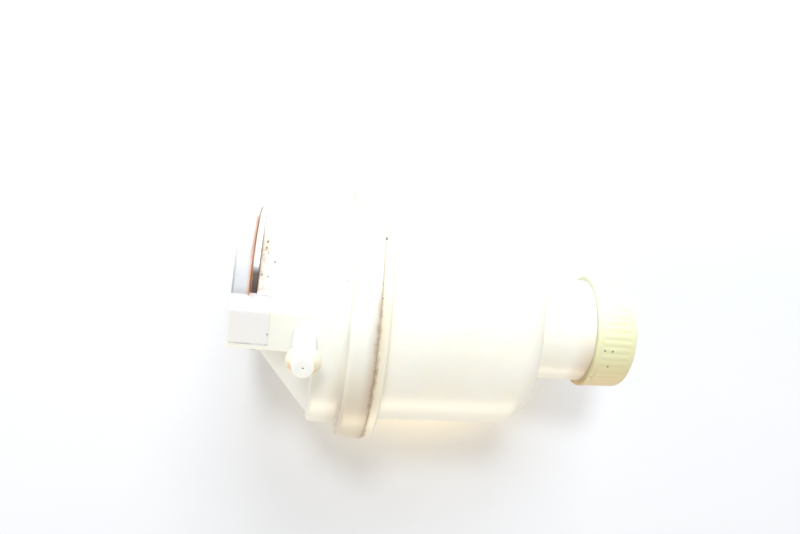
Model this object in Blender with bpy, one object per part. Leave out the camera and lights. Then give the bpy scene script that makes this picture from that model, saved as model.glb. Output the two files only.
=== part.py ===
"""Float valve: a moulded chamber with a clip-on inlet collar, a lever float that
closes a needle under the top hose nozzle, and a screwed drain cap.

Frame: origin at the centre of the inlet face, +X along the chamber towards the
drain cap, +Z along the hose nozzle, +Y towards the rounded side of the cover.
Lengths below are in millimetres; add_part scales each mesh to metres.
"""

import math

import bmesh
import bpy
from mathutils import Matrix, Vector

MM = 0.001
SEGMENTS = 48

# Joint plane between cover and chamber, and the flange there.
SEAM_X = 37.3
FLANGE_R = 35.8
RIM_X = 30.0
RIM_BORE_R = 33.0
WALL = 2.4

# Cover: stepped drum, cone below it, and the flat shoulders beside it.
TIER_X = 21.6
TIER_R = 31.9
TIER_BORE_R = 29.2
DRUM_X = 6.6
DRUM_R = 27.4
DRUM_BORE_R = 25.0
CONE_X = 7.4
CONE_R = 13.6
END_WALL_X = 12.8
END_WALL = 2.2
SHOULDER_Z = 29.3
SHOULDER_LOW_Y = 0.9
SHOULDER_TOP_Y = 13.5
SHOULDER_FILLET = 3.0
STRIP_TOP_Y = 2.2

# Inlet collar, its socket, and the horseshoe clip in the slot behind its lip.
LIP_R = 28.3
LIP_X = 4.3
COLLAR_BLOCK_X = 10.2
COLLAR_BLOCK_Z = 22.5
SOCKET_R = 9.2
SOCKET_WALL_R = 12.3
SOCKET_X = 12.5
CLIP_X = 4.6
CLIP_THICK = 1.7
CLIP_R = 27.2
CLIP_MOUTH_R = 8.0
CLIP_LEG_Z = 11.9
CLIP_LEG_Y = -9.0
GAP = 0.3

# Chamber body, neck, thread and cap.
BODY_R_LEFT = 30.2
BODY_R_RIGHT = 28.6
BODY_END_X = 83.0
BODY_FILLET = 7.5
SPIGOT_X = 32.6
NECK_R = 14.9
NECK_BORE_R = 11.0
NECK_SHOULDER_X = 100.4
NECK_END_X = 109.6
THREAD_ROOT_R = 12.9
THREAD_DEPTH = 0.95
THREAD_PITCH = 3.0
THREAD_TURNS = 1.75
CAP_X = 100.7
CAP_END_X = 112.7
CAP_R_LEFT = 16.4
CAP_R_RIGHT = 15.8
CAP_BORE_R = 14.2
CAP_WALL = 1.8
CAP_RIBS = 48

# Hose nozzle, valve seat and needle on one vertical line.
NOZZLE_X = 19.3
NOZZLE_Y = 6.0
NOZZLE_TIP_Z = 45.8
NOZZLE_R = 3.05
NOZZLE_BARB_R = 4.3
NOZZLE_BORE_R = 1.4
NOZZLE_MOUTH_R = 0.4
SEAT_Z = 21.9
ORIFICE_R = 0.9
NEEDLE_R = 1.5

# The two screws that hold the hinge bracket.
SCREW_XS = (14.4, 25.6)
SCREW_Y = 10.2

# Lever float.
PIVOT_X = 12.7
PIVOT_Z = 17.0
PIN_R = 0.8
ARM_HALF_WIDTH = 1.3
FLOAT_Z = -8.0
FLOAT_R = 12.0
FLOAT_X = 42.0
FLOAT_END_X = 70.0
FLOAT_WALL = 1.2


def clear_scene():
    for obj in list(bpy.data.objects):
        bpy.data.objects.remove(obj, do_unlink=True)


def material(name, colour, roughness, metallic=0.0):
    made = bpy.data.materials.new(name)
    made.use_nodes = True
    shader = made.node_tree.nodes["Principled BSDF"]
    shader.inputs["Base Color"].default_value = (*colour, 1.0)
    shader.inputs["Roughness"].default_value = roughness
    shader.inputs["Metallic"].default_value = metallic
    made.diffuse_color = (*colour, 1.0)
    return made


def add_part(name, shape, finish=None, origin=(0, 0, 0), parent=None):
    """One object from a bmesh in millimetres, with its origin where asked."""
    bmesh.ops.recalc_face_normals(shape, faces=shape.faces)
    bmesh.ops.translate(shape, verts=shape.verts, vec=-Vector(origin))
    bmesh.ops.scale(shape, verts=shape.verts, vec=(MM, MM, MM))
    mesh = bpy.data.meshes.new(name)
    shape.to_mesh(mesh)
    shape.free()
    obj = bpy.data.objects.new(name, mesh)
    bpy.context.scene.collection.objects.link(obj)
    mesh.shade_smooth()
    mesh.set_sharp_from_angle(angle=math.radians(32))
    obj.location = Vector(origin) * MM
    if parent:
        obj.parent = parent
        obj.location -= parent.location
    if finish:
        mesh.materials.append(finish)
    return obj


def axis_empty(name, origin):
    """An empty on a joint's axis, which carries the pieces that move there."""
    empty = bpy.data.objects.new(name, None)
    empty.empty_display_size = 0.01
    empty.location = Vector(origin) * MM
    bpy.context.scene.collection.objects.link(empty)
    return empty


def shape_with(target, helper_name, shape, operation):
    """Adds a Boolean of a hidden helper solid to the target object."""
    helper = add_part(helper_name, shape)
    helper.hide_render = True
    helper.display_type = "WIRE"
    boolean = target.modifiers.new(helper_name, "BOOLEAN")
    boolean.operation = operation
    boolean.solver = "EXACT"
    boolean.object = helper


def cut(target, helper_name, shape):
    shape_with(target, helper_name, shape, "DIFFERENCE")


def join(target, helper_name, shape):
    shape_with(target, helper_name, shape, "UNION")


def arc(centre, radius, start, end, steps):
    """Points on an arc from start to end degrees, both included."""
    points = []
    for step in range(steps + 1):
        angle = math.radians(start + (end - start) * step / steps)
        points.append((centre[0] + radius * math.cos(angle), centre[1] + radius * math.sin(angle)))
    return points


def turned(outline, axis="X", centre=(0, 0, 0), segments=SEGMENTS):
    """Revolves a closed outline of (distance along the axis, radius)."""
    along = {"X": Vector((1, 0, 0)), "Y": Vector((0, 1, 0)), "Z": Vector((0, 0, 1))}[axis]
    out = {"X": Vector((0, 0, 1)), "Y": Vector((1, 0, 0)), "Z": Vector((1, 0, 0))}[axis]
    shape = bmesh.new()
    rings = [shape.verts.new(Vector(centre) + along * a + out * r) for a, r in outline]
    edges = [shape.edges.new((v, rings[i - 1])) for i, v in enumerate(rings)]
    on_axis = [e for e in edges if all((v.co - Vector(centre)).cross(along).length < 1e-6 for v in e.verts)]
    for edge in on_axis:
        shape.edges.remove(edge)
    bmesh.ops.spin(
        shape,
        geom=shape.verts[:] + shape.edges[:],
        cent=centre,
        axis=along,
        angle=2 * math.pi,
        steps=segments,
        use_merge=True,
    )
    bmesh.ops.remove_doubles(shape, verts=shape.verts, dist=1e-4)
    return shape


def rod(axis, centre, start, end, radius, segments=20):
    """A solid cylinder; start and end are measured along the axis from centre."""
    return turned([(start, 0), (start, radius), (end, radius), (end, 0)], axis, centre, segments)


def tube(axis, centre, start, end, inner, outer, segments=20):
    outline = [(start, inner), (start, outer), (end, outer), (end, inner)]
    return turned(outline, axis, centre, segments)


def torus(axis, centre, ring_radius, wire_radius, segments=24, sides=6):
    return turned(arc((0, ring_radius), wire_radius, 0, 360, sides)[:-1], axis, centre, segments)


def box(low, high):
    shape = bmesh.new()
    size = Vector(high) - Vector(low)
    middle = (Vector(high) + Vector(low)) / 2
    bmesh.ops.create_cube(shape, size=1, matrix=Matrix.Translation(middle) @ Matrix.Diagonal((*size, 1)))
    return shape


def extruded(outline, axis, start, end):
    """Extrudes an outline: (y, z) points along X, or (x, z) points along Y."""
    place = {
        "X": lambda a, b: (start, a, b),
        "Y": lambda a, b: (a, start, b),
    }[axis]
    shape = bmesh.new()
    face = shape.faces.new([shape.verts.new(place(a, b)) for a, b in outline])
    moved = bmesh.ops.extrude_face_region(shape, geom=[face])["geom"]
    travel = Vector((end - start, 0, 0)) if axis == "X" else Vector((0, end - start, 0))
    bmesh.ops.translate(shape, verts=[v for v in moved if isinstance(v, bmesh.types.BMVert)], vec=travel)
    return shape


def helix_ridge(wall_r, crest_r, start_x, turns, root_half, crest_half, steps_per_turn=20):
    """A right-hand thread ridge about X that runs out into its wall at both ends."""
    shape = bmesh.new()
    sink = math.copysign(0.35, wall_r - crest_r)
    steps = int(turns * steps_per_turn)
    fade_steps = steps_per_turn / 6
    sections = []
    for step in range(steps + 1):
        angle = 2 * math.pi * step / steps_per_turn
        x = start_x + THREAD_PITCH * step / steps_per_turn
        height = min(1.0, 0.12 + min(step, steps - step) / fade_steps)
        crest = wall_r + (crest_r - wall_r) * height
        corners = [(x - root_half, wall_r + sink), (x - crest_half, crest),
                   (x + crest_half, crest), (x + root_half, wall_r + sink)]
        ring = [shape.verts.new((px, r * math.cos(angle), r * math.sin(angle))) for px, r in corners]
        sections.append(ring)
    for near, far in zip(sections, sections[1:]):
        for i in range(4):
            shape.faces.new((near[i - 1], near[i], far[i], far[i - 1]))
    shape.faces.new(sections[0])
    shape.faces.new(sections[-1])
    return shape


def shoulder_outline(lowest_y, notch_z=None):
    """Section of the half drum with its flat shoulders, or with notches beside it."""
    half = []
    if notch_z is None:
        reach = SHOULDER_Z - SHOULDER_FILLET
        half += [(lowest_y, SHOULDER_Z)]
        half += arc((SHOULDER_TOP_Y - SHOULDER_FILLET, reach), SHOULDER_FILLET, 90, 0, 5)
        start = math.degrees(math.asin(SHOULDER_TOP_Y / DRUM_R))
    else:
        half += [(lowest_y, SHOULDER_Z), (STRIP_TOP_Y, SHOULDER_Z), (STRIP_TOP_Y, notch_z)]
        start = math.degrees(math.acos(notch_z / DRUM_R))
    for point in arc((0, 0), DRUM_R, start, 90, 10)[:-1]:
        half.append((point[1], point[0]))
    return half + [(DRUM_R, 0)] + [(y, -z) for y, z in reversed(half)]


def build_cover(finish):
    tier_edge = arc((TIER_X + 2.3, TIER_R - 2.3), 2.3, 180, 90, 3)
    inner_cone_x = END_WALL_X + END_WALL
    outline = [(CONE_X, 0), (CONE_X, CONE_R), (20.8, 28.7), *tier_edge,
               (RIM_X - 0.1, TIER_R), (RIM_X + 0.1, TIER_R + 0.3), (RIM_X + 0.1, FLANGE_R - 0.5),
               (RIM_X + 0.6, FLANGE_R), (SEAM_X, FLANGE_R), (SEAM_X, 0)]
    cover = add_part("cover", turned(outline), finish)
    shoulders_x = COLLAR_BLOCK_X + GAP
    join(cover, "cover_shoulders", extruded(shoulder_outline(SHOULDER_LOW_Y), "X", shoulders_x, 23.0))
    notched = extruded(shoulder_outline(SHOULDER_LOW_Y, COLLAR_BLOCK_Z - GAP), "X", DRUM_X, shoulders_x + 0.3)
    join(cover, "cover_drum_front", notched)
    strip = box((0, SHOULDER_LOW_Y, -SHOULDER_Z), (7.0, STRIP_TOP_Y, SHOULDER_Z))
    join(cover, "cover_floor_strip", strip)

    floor_y = 2.4
    floor_angle = math.degrees(math.asin(floor_y / DRUM_BORE_R))
    room = [(b, a) for a, b in arc((0, 0), DRUM_BORE_R, floor_angle, 180 - floor_angle, 24)]
    cut(cover, "cover_drum_room", extruded(room, "X", DRUM_X + WALL, 24.2))
    join(cover, "cover_socket_post", rod("X", (0, 0, 0), DRUM_X + 1, inner_cone_x + 0.5, 14.8, 40))
    cone_room = [(inner_cone_x, 0), (inner_cone_x, 18.0), (23.9, 28.3), (24.4, TIER_BORE_R),
                 (RIM_X + 0.9, TIER_BORE_R), (RIM_X + 0.9, RIM_BORE_R), (SEAM_X + 1, RIM_BORE_R),
                 (SEAM_X + 1, 0)]
    cut(cover, "cover_cone_room", turned(cone_room))
    cut(cover, "cover_socket_bore", rod("X", (0, 0, 0), -1, END_WALL_X, SOCKET_WALL_R + 0.4, 44))
    cut(cover, "cover_inlet_duct", rod("X", (0, 0, 0), END_WALL_X - 1, inner_cone_x + 1, 5.0))

    boss = (NOZZLE_X, NOZZLE_Y, 0)
    join(cover, "cover_seat_boss", rod("Z", boss, 23.6, 28.0, 5.2))
    cut(cover, "cover_seat_pocket", rod("Z", boss, 20.0, 23.6, 4.6))
    for number, (x, top) in enumerate(zip(SCREW_XS, (25.5, 30.0)), start=1):
        join(cover, f"cover_screw_boss_{number}", rod("Z", (x, SCREW_Y, 0), 21.9, top, 2.0, 16))
        cut(cover, f"cover_screw_hole_{number}", rod("Z", (x, SCREW_Y, 0), 21.0, 25.0, 1.0, 12))
    cut(cover, "cover_nozzle_bore", rod("Z", boss, 25.4, 31.0, NOZZLE_R + 0.3))
    cut(cover, "cover_seat_bore", rod("Z", boss, 23.0, 26.0, 2.75))
    return cover


def build_collar(finish):
    ring = tube("X", (0, 0, 0), 0, SOCKET_X, SOCKET_R, SOCKET_WALL_R, 48)
    collar = add_part("mount_collar", ring, finish)
    low = STRIP_TOP_Y + GAP
    start = math.degrees(math.asin(low / LIP_R))
    lip = [(b, a) for a, b in arc((0, 0), LIP_R, start, 180 - start, 28)]
    join(collar, "collar_lip", extruded(lip, "X", 0, LIP_X))
    for side in (-1, 1):
        near = COLLAR_BLOCK_Z * side
        far = SHOULDER_Z * side
        reach = (SHOULDER_Z - SHOULDER_FILLET) * side
        edge = arc((SHOULDER_TOP_Y - SHOULDER_FILLET, reach), SHOULDER_FILLET, 90 * side, 0, 5)
        outline = [(low, near), (low, far), *edge, (SHOULDER_TOP_Y, near)]
        join(collar, f"collar_block_{side + 2}", extruded(outline, "X", 0, COLLAR_BLOCK_X))
    cut(collar, "collar_socket", rod("X", (0, 0, 0), -1, SOCKET_X + 1, SOCKET_R, 48))
    slot = (CLIP_X - GAP, CLIP_X + CLIP_THICK + GAP)
    cut(collar, "collar_clip_slot", box((slot[0], 0, -15), (slot[1], 15, 15)))
    for side in (-1, 1):
        ends = sorted((side * (CLIP_MOUTH_R - GAP), side * 15))
        legs = box((slot[0], CLIP_LEG_Y - GAP, ends[0]), (slot[1], 0.5, ends[1]))
        cut(collar, f"collar_leg_slot_{side + 2}", legs)
    cut(collar, "collar_oring_groove", tube("X", (0, 0, 0), 8.0, 10.8, SOCKET_R - 1, 11.2, 48))
    return collar


def build_clip(finish, parent):
    """Horseshoe plate: a half disc with two legs that straddle the socket."""
    low = STRIP_TOP_Y + 2 * GAP
    side_z = COLLAR_BLOCK_Z - 2 * GAP
    right = [(CLIP_LEG_Y, CLIP_MOUTH_R), (CLIP_LEG_Y, CLIP_LEG_Z), (low, CLIP_LEG_Z), (low, side_z)]
    start = math.degrees(math.acos(side_z / CLIP_R))
    right += [(b, a) for a, b in arc((0, 0), CLIP_R, start, 90, 10)[:-1]]
    outline = right + [(CLIP_R, 0)] + [(y, -z) for y, z in reversed(right)]
    outline += [(CLIP_MOUTH_R * math.sin(t), -CLIP_MOUTH_R * math.cos(t))
                for t in (math.pi * k / 16 for k in range(17))]
    plate = extruded(outline, "X", CLIP_X, CLIP_X + CLIP_THICK)
    return add_part("retaining_clip", plate, finish, (CLIP_X, 0, 0), parent)


def build_strainer(finish):
    inner = END_WALL_X + END_WALL + GAP
    outline = [(inner, 4.2), (inner, 8.0), (inner + 1.0, 8.0), (inner + 1.0, 6.2), (inner + 5.0, 5.0),
               (inner + 6.0, 3.8), (inner + 6.0, 0), (inner + 5.0, 0), (inner + 5.0, 3.2)]
    strainer = add_part("inlet_strainer", turned(outline, segments=24), finish)
    for turn in range(8):
        angle = math.pi * turn / 8 + 0.1
        bar = box((inner + 1.6, -9, -0.45), (inner + 4.0, 9, 0.45))
        bmesh.ops.rotate(bar, verts=bar.verts, matrix=Matrix.Rotation(angle, 3, "X"))
        cut(strainer, f"strainer_slot_{turn + 1}", bar)
    return strainer


def build_chamber(finish):
    shoulder = BODY_END_X - BODY_FILLET
    corner = arc((shoulder, BODY_R_RIGHT - BODY_FILLET), BODY_FILLET, 90, 0, 4)
    inner_corner = arc((shoulder, BODY_R_RIGHT - BODY_FILLET), BODY_FILLET - WALL, 0, 90, 3)
    flange_x = SEAM_X + 0.1
    outline = [(SPIGOT_X, RIM_BORE_R - GAP), (flange_x, RIM_BORE_R - GAP), (flange_x, FLANGE_R - 0.2),
               (39.6, FLANGE_R - 0.2), (40.1, FLANGE_R - 0.7), (40.1, BODY_R_LEFT + 0.8),
               (40.9, BODY_R_LEFT), *corner, (BODY_END_X, NECK_R + 0.8), (BODY_END_X + 0.8, NECK_R),
               (NECK_SHOULDER_X, NECK_R), (NECK_SHOULDER_X, THREAD_ROOT_R),
               (NECK_END_X, THREAD_ROOT_R), (NECK_END_X, NECK_BORE_R),
               (BODY_END_X - WALL, NECK_BORE_R), *inner_corner, (SPIGOT_X, BODY_R_LEFT - WALL)]
    chamber = add_part("chamber_body", turned(outline), finish)
    thread = helix_ridge(THREAD_ROOT_R, THREAD_ROOT_R + THREAD_DEPTH, 102.6, THREAD_TURNS, 0.75, 0.4)
    join(chamber, "neck_thread", thread)
    return chamber


def build_cap(finish, parent):
    """Cup with fine grip ribs outside and a matching thread inside."""
    shape = bmesh.new()
    count = CAP_RIBS * 2
    rib_depth = 0.3
    stations = [(CAP_X, CAP_R_LEFT, 0), (CAP_X + 1.3, CAP_R_LEFT, 0),
                (CAP_X + 1.6, CAP_R_LEFT - 0.05, 1), (CAP_END_X - 1.6, CAP_R_RIGHT + 0.1, 1),
                (CAP_END_X, CAP_R_RIGHT - 1.3, 0)]
    rings = []
    for x, radius, ribbed in stations:
        ring = []
        for i in range(count):
            r = radius - rib_depth * (ribbed * (i % 2))
            angle = 2 * math.pi * i / count
            ring.append(shape.verts.new((x, r * math.cos(angle), r * math.sin(angle))))
        rings.append(ring)
    for near, far in zip(rings, rings[1:]):
        for i in range(count):
            shape.faces.new((near[i - 1], near[i], far[i], far[i - 1]))
    shape.faces.new(rings[0])
    shape.faces.new(rings[-1])
    cap = add_part("screw_cap", shape, finish, (CAP_X, 0, 0), parent)
    cut(cap, "cap_bore", rod("X", (0, 0, 0), CAP_X - 1, CAP_END_X - CAP_WALL, CAP_BORE_R, 48))
    thread = helix_ridge(CAP_BORE_R, CAP_BORE_R - THREAD_DEPTH, 102.6 + THREAD_PITCH / 2,
                         THREAD_TURNS, 0.75, 0.4)
    join(cap, "cap_thread", thread)
    return cap


def build_nozzle(finish):
    """Barbed hose nozzle with a groove for its seal and a narrow metering mouth."""
    centre = (NOZZLE_X, NOZZLE_Y, 0)
    base = 25.7
    barb_z = NOZZLE_TIP_Z - 3.2
    mouth_z = NOZZLE_TIP_Z - 1.0
    outline = [(base, NOZZLE_BORE_R), (base, NOZZLE_R), (26.4, NOZZLE_R), (26.4, 2.3), (27.6, 2.3),
               (27.6, NOZZLE_R), (barb_z - 1.6, NOZZLE_R), (barb_z - 0.6, NOZZLE_BARB_R - 0.2),
               (barb_z, NOZZLE_BARB_R), (NOZZLE_TIP_Z, 2.4), (NOZZLE_TIP_Z, NOZZLE_MOUTH_R),
               (mouth_z, NOZZLE_MOUTH_R), (mouth_z, NOZZLE_BORE_R)]
    return add_part("hose_nozzle", turned(outline, "Z", centre, 24), finish, (NOZZLE_X, NOZZLE_Y, SHOULDER_Z))


def build_seat(brass, rubber):
    centre = (NOZZLE_X, NOZZLE_Y, 0)
    outline = [(SEAT_Z, 2.0), (SEAT_Z, 4.2), (SEAT_Z + 0.8, 4.2), (SEAT_Z + 0.8, 2.5), (SEAT_Z + 3.1, 2.5),
               (SEAT_Z + 3.1, ORIFICE_R), (SEAT_Z + 1.1, ORIFICE_R)]
    add_part("valve_seat", turned(outline, "Z", centre, 24), brass, (NOZZLE_X, NOZZLE_Y, SEAT_Z))
    ring_at = (NOZZLE_X, NOZZLE_Y, SEAT_Z + 1.25)
    add_part("seat_oring", torus("Z", ring_at, 3.3, 0.4, 20, 6), rubber, ring_at)


def build_needle(steel, rubber, parent):
    centre = (NOZZLE_X, NOZZLE_Y, 0)
    stem = [(16.0, 0), (16.0, 0.9), (16.5, NEEDLE_R), (19.0, NEEDLE_R), (19.0, 0.6), (20.0, 0.6), (20.0, 0)]
    add_part("needle_stem", turned(stem, "Z", centre, 20), steel, (NOZZLE_X, NOZZLE_Y, 16.0), parent)
    tip = [(19.05, 0.75), (19.05, NEEDLE_R), (20.45, NEEDLE_R), (21.55, 0.4), (21.55, 0), (20.2, 0),
           (20.2, 0.75)]
    add_part("needle_tip", turned(tip, "Z", centre, 20), rubber, (NOZZLE_X, NOZZLE_Y, 19.0), parent)


def build_bracket(steel):
    """Plate under the seat with two ears for the pivot and a guide for the needle."""
    plate = box((10.6, 3.6, 20.6), (28.2, 12.2, 21.6))
    bracket = add_part("hinge_bracket", plate, steel, (PIVOT_X, NOZZLE_Y, PIVOT_Z))
    for number, (near, far) in enumerate(((3.6, 4.4), (7.6, 8.4)), start=1):
        ear = [(PIVOT_X - 1.9, 21.0), (PIVOT_X - 1.9, PIVOT_Z)]
        ear += arc((PIVOT_X, PIVOT_Z), 1.9, 180, 360, 8)[1:]
        ear += [(PIVOT_X + 1.9, 21.0)]
        join(bracket, f"bracket_ear_{number}", extruded(ear, "Y", near, far))
    cut(bracket, "bracket_pin_hole", rod("Y", (PIVOT_X, 0, PIVOT_Z), 3, 9, PIN_R + 0.06, 16))
    needle = (NOZZLE_X, NOZZLE_Y, 0)
    join(bracket, "bracket_guide", rod("Z", needle, 18.3, 21.0, 2.3, 24))
    cut(bracket, "bracket_guide_bore", rod("Z", needle, 18.0, 22.0, NEEDLE_R + 0.2, 24))
    for number, x in enumerate(SCREW_XS, start=1):
        cut(bracket, f"bracket_screw_hole_{number}", rod("Z", (x, SCREW_Y, 0), 20.0, 22.0, 1.1, 12))
    return bracket


def build_bracket_screws(steel):
    outline = [(19.3, 0), (19.3, 1.2), (19.6, 1.7), (20.4, 1.7), (20.4, 0.85), (24.3, 0.85), (24.7, 0.4),
               (24.7, 0)]
    for number, x in enumerate(SCREW_XS, start=1):
        shape = turned(outline, "Z", (x, SCREW_Y, 0), 16)
        screw = add_part(f"bracket_screw_{number}", shape, steel, (x, SCREW_Y, 20.5))
        drive = box((x - 1.0, SCREW_Y - 0.2, 19.0), (x + 1.0, SCREW_Y + 0.2, 19.8))
        cut(screw, f"screw_drive_{number}", drive)


def build_pin(steel):
    centre = (PIVOT_X, 0, PIVOT_Z)
    outline = [(2.65, 0), (2.65, 0.7), (2.8, PIN_R), (2.85, PIN_R), (2.85, 0.5), (3.35, 0.5), (3.35, PIN_R),
               (8.6, PIN_R), (8.6, 1.4), (9.2, 1.4), (9.2, 0)]
    add_part("hinge_pin", turned(outline, "Y", centre, 16), steel, (PIVOT_X, 6.0, PIVOT_Z))
    ring = tube("Y", centre, 2.92, 3.28, 0.62, 1.6, 16)
    pin_clip = add_part("pin_clip", ring, steel, (PIVOT_X, 3.1, PIVOT_Z))
    cut(pin_clip, "pin_clip_mouth", box((PIVOT_X - 0.45, 2.5, PIVOT_Z - 3), (PIVOT_X + 0.45, 3.6, PIVOT_Z)))


def build_arm(finish, parent):
    """Lever from the pivot barrel, under the needle, down to the float."""
    low_y = NOZZLE_Y - ARM_HALF_WIDTH
    high_y = NOZZLE_Y + ARM_HALF_WIDTH
    pad_x = NOZZLE_X
    outline = arc((PIVOT_X, PIVOT_Z), 2.2, -60, -320, 12)
    outline += [(PIVOT_X + 3.4, 15.3), (pad_x - 1.6, 14.9)]
    outline += arc((pad_x, 14.2), 1.5, 150, 30, 6)
    outline += [(pad_x + 2.4, 14.3), (38.4, FLOAT_Z + 3.4), (41.4, FLOAT_Z + 1.6), (41.4, FLOAT_Z - 1.6),
                (36.6, FLOAT_Z - 1.6), (36.2, FLOAT_Z + 1.6), (20.6, 12.2), (16.0, 13.0)]
    arm = add_part("float_arm", extruded(outline, "Y", low_y, high_y), finish,
                   (PIVOT_X, NOZZLE_Y, PIVOT_Z), parent)
    cut(arm, "arm_pivot_hole", rod("Y", (PIVOT_X, 0, PIVOT_Z), 3, 9, PIN_R + 0.08, 16))
    cut(arm, "arm_screw_hole", rod("Y", (39.0, 0, FLOAT_Z), 3, 9, 1.1, 12))
    return arm


def build_float(finish, steel, parent):
    centre = (0, NOZZLE_Y, FLOAT_Z)
    lid_x = FLOAT_END_X - 1.4
    outline = [(FLOAT_X, 0), (FLOAT_X, FLOAT_R - 1.5), (FLOAT_X + 0.45, FLOAT_R - 0.45),
               (FLOAT_X + 1.5, FLOAT_R), (lid_x, FLOAT_R), (lid_x, FLOAT_R - FLOAT_WALL),
               (FLOAT_X + FLOAT_WALL, FLOAT_R - FLOAT_WALL), (FLOAT_X + FLOAT_WALL, 0)]
    shell = add_part("float_shell", turned(outline, "X", centre, 32), finish, (FLOAT_X, *centre[1:]), parent)
    join(shell, "float_lug", box((36.8, 7.7, FLOAT_Z - 2.2), (42.6, 10.0, FLOAT_Z + 2.2)))
    cut(shell, "float_lug_hole", rod("Y", (39.0, 0, FLOAT_Z), 7, 11, 1.1, 12))
    inner = FLOAT_R - FLOAT_WALL - GAP
    lid = [(lid_x - 2.0, inner - 1.0), (lid_x - 2.0, inner), (lid_x + 0.1, inner), (lid_x + 0.1, FLOAT_R),
           (FLOAT_END_X - 0.6, FLOAT_R), (FLOAT_END_X, FLOAT_R - 0.6), (FLOAT_END_X, 0), (lid_x + 0.1, 0),
           (lid_x + 0.1, inner - 1.0)]
    add_part("float_lid", turned(lid, "X", centre, 32), finish, (lid_x, *centre[1:]), parent)
    screw = [(2.7, 0), (2.7, 1.3), (3.0, 1.9), (4.4, 1.9), (4.4, 0.85), (9.8, 0.85), (10.2, 0.5), (10.2, 0)]
    add_part("float_screw", turned(screw, "Y", (39.0, 0, FLOAT_Z), 16), steel, (39.0, 6.0, FLOAT_Z), parent)


def main():
    clear_scene()
    natural = material("natural_plastic", (0.90, 0.88, 0.80), 0.42)
    natural_body = material("natural_plastic_body", (0.90, 0.87, 0.74), 0.40)
    white = material("white_plastic", (0.88, 0.89, 0.92), 0.38)
    yellowed = material("yellowed_plastic", (0.86, 0.83, 0.55), 0.45)
    rusty = material("rusty_spring_steel", (0.42, 0.36, 0.32), 0.40, 1.0)
    steel = material("stainless_steel", (0.62, 0.62, 0.60), 0.30, 1.0)
    brass = material("brass", (0.72, 0.56, 0.28), 0.30, 1.0)
    rubber = material("black_rubber", (0.03, 0.03, 0.03), 0.70)
    float_plastic = material("float_plastic", (0.80, 0.78, 0.70), 0.50)

    needle_guide = axis_empty("needle_guide", (NOZZLE_X, NOZZLE_Y, SEAT_Z))
    lever_pivot = axis_empty("lever_pivot", (PIVOT_X, NOZZLE_Y, PIVOT_Z))
    cap_axis = axis_empty("cap_axis", (CAP_X, 0, 0))
    clip_track = axis_empty("clip_track", (CLIP_X, 0, 0))

    build_cover(natural)
    build_collar(white)
    build_clip(rusty, clip_track)
    build_strainer(float_plastic)
    build_chamber(natural_body)
    build_cap(yellowed, cap_axis)
    build_nozzle(white)
    build_seat(brass, rubber)
    build_needle(steel, rubber, needle_guide)
    build_bracket(steel)
    build_bracket_screws(steel)
    build_pin(steel)
    build_arm(float_plastic, lever_pivot)
    build_float(float_plastic, steel, lever_pivot)

    socket_ring_at = (9.4, 0, 0)
    add_part("socket_oring", torus("X", socket_ring_at, 9.9, 1.05, 32, 6), rubber, socket_ring_at)
    seam_outline = [(31.2, 28.6), (31.2, 32.7), (32.3, 32.7), (32.3, 28.6)]
    add_part("seam_gasket", turned(seam_outline, segments=48), rubber, (31.2, 0, 0))
    cap_outline = [(109.9, 9.6), (109.9, 12.7), (110.6, 12.7), (110.6, 9.6)]
    add_part("cap_gasket", turned(cap_outline, segments=32), rubber, (CAP_X, 0, 0), cap_axis)
    nozzle_ring_at = (NOZZLE_X, NOZZLE_Y, 27.0)
    add_part("nozzle_oring", torus("Z", nozzle_ring_at, 2.82, 0.42, 20, 6), rubber, nozzle_ring_at)


main()
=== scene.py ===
"""Looks of the float valve: fine moulded shells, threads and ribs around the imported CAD
frame, aged plastic and rusty steel materials, a pale floor, soft light and the camera.

Lengths are in millimetres in the row's frame (+X towards the cap, +Z along the nozzle)
unless a name says otherwise; finish_mesh scales each mesh to metres.
"""

import math

import bmesh
import bpy
import numpy as np
from mathutils import Matrix, Vector


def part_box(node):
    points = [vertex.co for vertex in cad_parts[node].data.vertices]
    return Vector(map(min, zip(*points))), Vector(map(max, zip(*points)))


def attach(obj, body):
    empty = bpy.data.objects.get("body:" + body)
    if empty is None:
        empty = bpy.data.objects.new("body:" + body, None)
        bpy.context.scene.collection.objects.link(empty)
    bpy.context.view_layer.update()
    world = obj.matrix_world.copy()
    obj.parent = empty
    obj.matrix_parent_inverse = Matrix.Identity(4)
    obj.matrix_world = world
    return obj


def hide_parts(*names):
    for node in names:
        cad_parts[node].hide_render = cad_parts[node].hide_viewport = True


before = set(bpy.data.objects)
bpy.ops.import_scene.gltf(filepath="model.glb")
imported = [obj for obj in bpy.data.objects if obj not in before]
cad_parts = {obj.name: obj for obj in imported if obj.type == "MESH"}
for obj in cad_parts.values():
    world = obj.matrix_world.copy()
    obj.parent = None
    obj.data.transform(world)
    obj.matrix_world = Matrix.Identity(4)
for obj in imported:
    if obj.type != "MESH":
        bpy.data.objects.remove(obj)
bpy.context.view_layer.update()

MM = 0.001


def corner_mm(node):
    low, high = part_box(node)
    return low / MM, high / MM


# Driving sizes, taken from the frame where a node's box gives them.
COVER_LOW, COVER_HIGH = corner_mm("cover")
CHAMBER_LOW, CHAMBER_HIGH = corner_mm("chamber_body")
CAP_LOW, CAP_HIGH = corner_mm("screw_cap")
COLLAR_LOW, COLLAR_HIGH = corner_mm("mount_collar")
CLIP_LOW, CLIP_HIGH = corner_mm("retaining_clip")
NOZZLE_LOW, NOZZLE_HIGH = corner_mm("hose_nozzle")

# Running gap beside the clip, and the hairline between fixed pieces.
SLIT = 0.05
HAIRLINE = 0.015

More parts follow.
